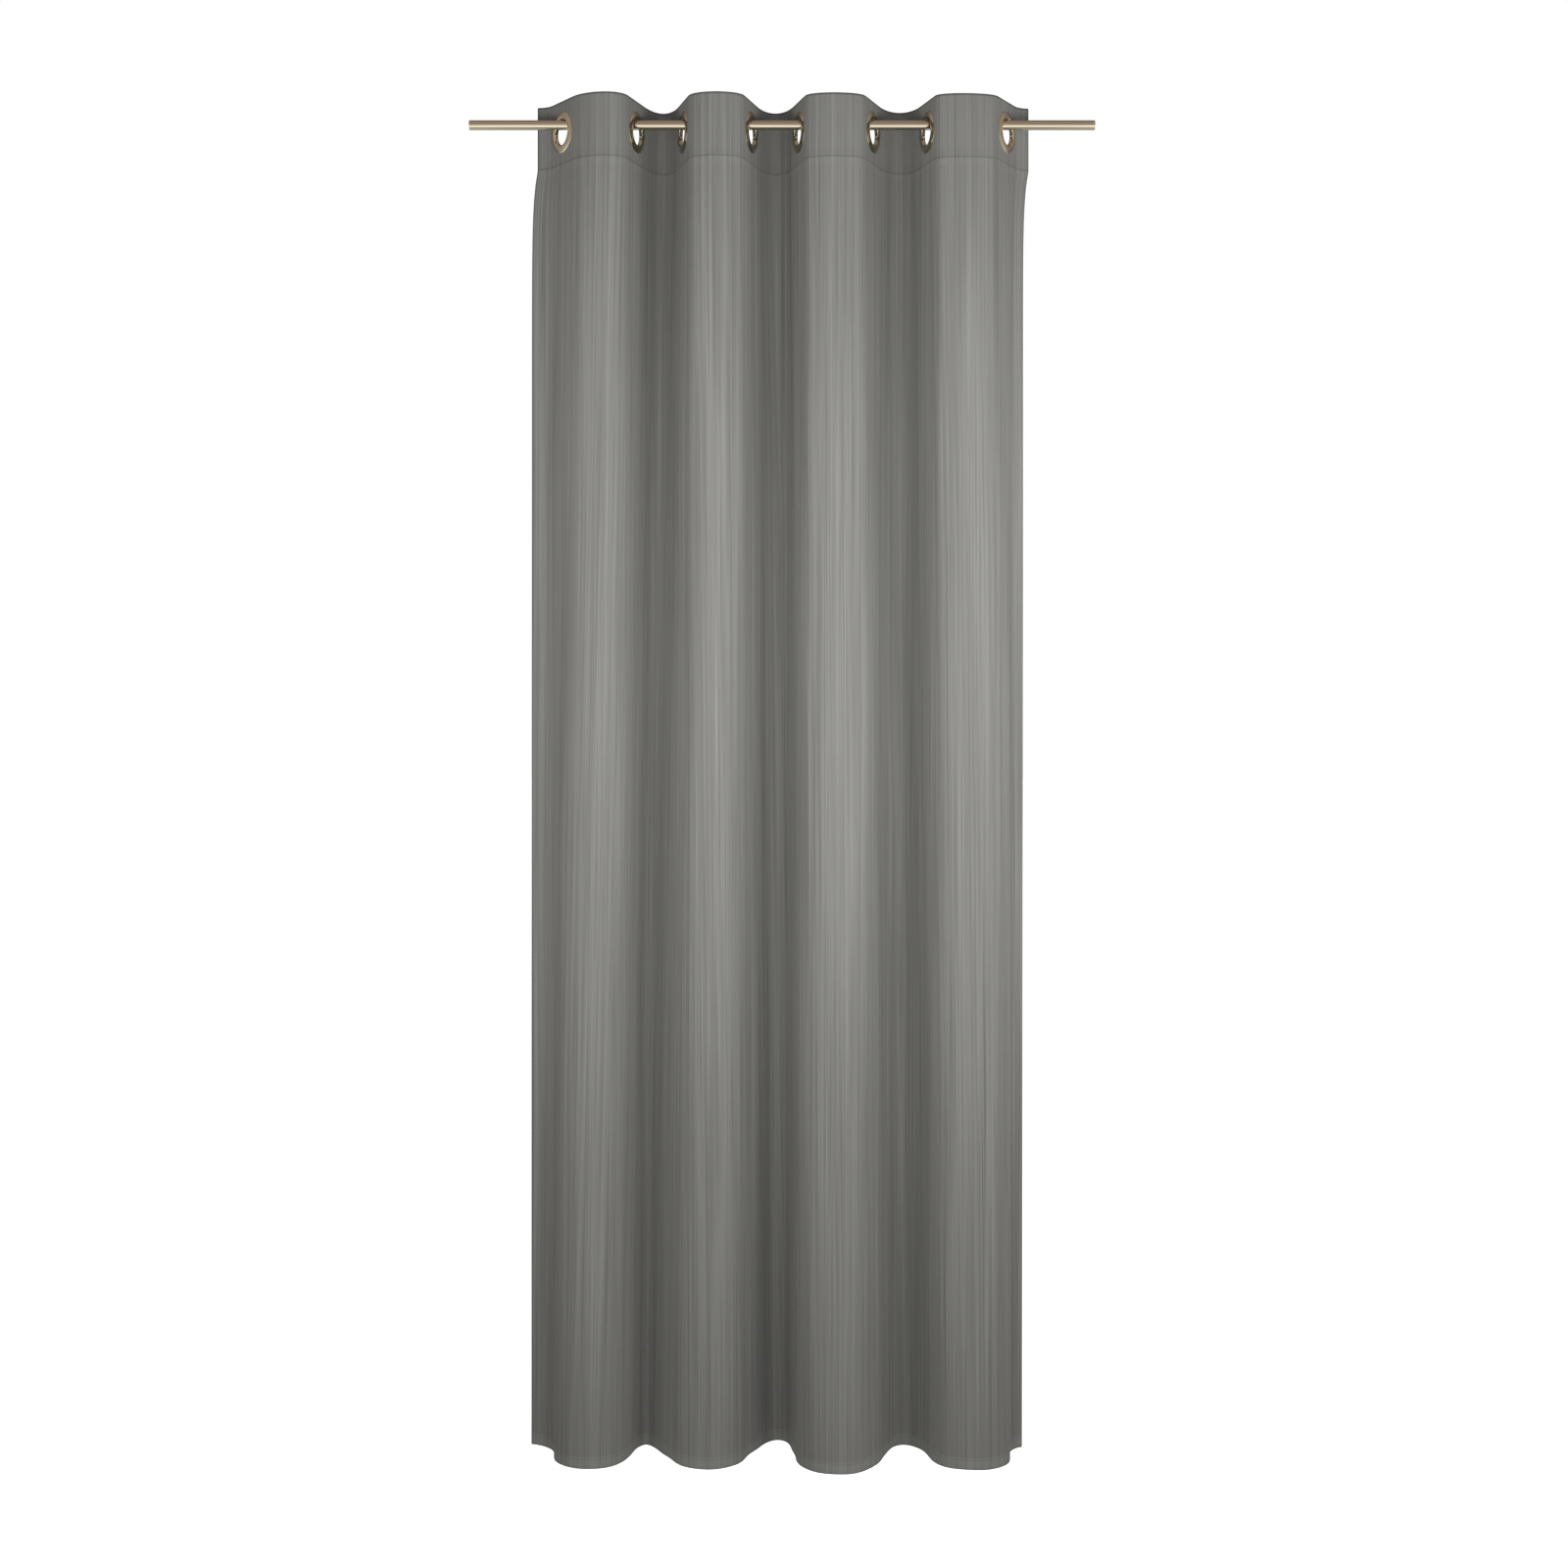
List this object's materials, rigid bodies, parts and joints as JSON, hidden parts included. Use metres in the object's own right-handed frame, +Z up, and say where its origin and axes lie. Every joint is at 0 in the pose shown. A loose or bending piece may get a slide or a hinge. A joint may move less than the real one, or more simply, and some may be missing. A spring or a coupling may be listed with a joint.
{
  "type": "curtain panel",
  "caption": "Room-height fabric curtain panel hanging in deep soft folds from round metal eyelets threaded on a plain straight rod.",
  "frame": {"origin": "on the rod's axis, halfway along the rod", "axes": "+X along the rod to the right as seen from the room, +Y away from the room (the front of the cloth faces -Y), +Z up"},
  "size_m": [1.04, 0.1734, 2.25],
  "materials": {
    "cloth": "matt plain weave with fine vertical slubs",
    "buckram": "stiff non-woven tape",
    "thread": "matt sewing thread",
    "label": "smooth satin ribbon, blank",
    "rod": "satin champagne plating",
    "eyelet": "polished champagne plating"
  },
  "bodies": {
    "rod": {"rod": "rod"},
    "panel": {"panel_cloth": "cloth", "heading_buckram": "buckram", "heading_seam": "thread", "bottom_hem_seam": "thread", "left_hem_seam": "thread", "right_hem_seam": "thread", "care_label": "label", "eyelet_1_front": "eyelet", "eyelet_1_back": "eyelet"},
    "eyelet_2": {"eyelet_2_front": "eyelet", "eyelet_2_back": "eyelet"},
    "eyelet_3": {"eyelet_3_front": "eyelet", "eyelet_3_back": "eyelet"},
    "eyelet_4": {"eyelet_4_front": "eyelet", "eyelet_4_back": "eyelet"},
    "eyelet_5": {"eyelet_5_front": "eyelet", "eyelet_5_back": "eyelet"},
    "eyelet_6": {"eyelet_6_front": "eyelet", "eyelet_6_back": "eyelet"},
    "eyelet_7": {"eyelet_7_front": "eyelet", "eyelet_7_back": "eyelet"},
    "eyelet_8": {"eyelet_8_front": "eyelet", "eyelet_8_back": "eyelet"}
  },
  "joints": [
    {"name": "draw", "type": "slide", "parent": "rod", "child": "panel", "axis": [1, 0, 0], "range_m": [-0.1, 0.1]},
    {"name": "gather_2", "type": "slide", "parent": "panel", "child": "eyelet_2", "axis": [-1, 0, 0], "range_m": [0, 0.0733]},
    {"name": "gather_3", "type": "slide", "parent": "panel", "child": "eyelet_3", "axis": [-1, 0, 0], "range_m": [0, 0.1212]},
    {"name": "gather_4", "type": "slide", "parent": "panel", "child": "eyelet_4", "axis": [-1, 0, 0], "range_m": [0, 0.1877]},
    {"name": "gather_5", "type": "slide", "parent": "panel", "child": "eyelet_5", "axis": [-1, 0, 0], "range_m": [0, 0.2366]},
    {"name": "gather_6", "type": "slide", "parent": "panel", "child": "eyelet_6", "axis": [-1, 0, 0], "range_m": [0, 0.309]},
    {"name": "gather_7", "type": "slide", "parent": "panel", "child": "eyelet_7", "axis": [-1, 0, 0], "range_m": [0, 0.3648]},
    {"name": "gather", "type": "slide", "parent": "panel", "child": "eyelet_8", "axis": [-1, 0, 0], "range_m": [0, 0.442], "deforming": ["panel_cloth", "heading_buckram", "heading_seam", "bottom_hem_seam", "left_hem_seam", "right_hem_seam", "care_label"]}
  ],
  "couplings": [
    {"joint": "gather_2", "follows": "gather", "ratio": 0.16471},
    {"joint": "gather_3", "follows": "gather", "ratio": 0.27319},
    {"joint": "gather_4", "follows": "gather", "ratio": 0.42361},
    {"joint": "gather_5", "follows": "gather", "ratio": 0.53422},
    {"joint": "gather_6", "follows": "gather", "ratio": 0.69792},
    {"joint": "gather_7", "follows": "gather", "ratio": 0.8241}
  ]
}
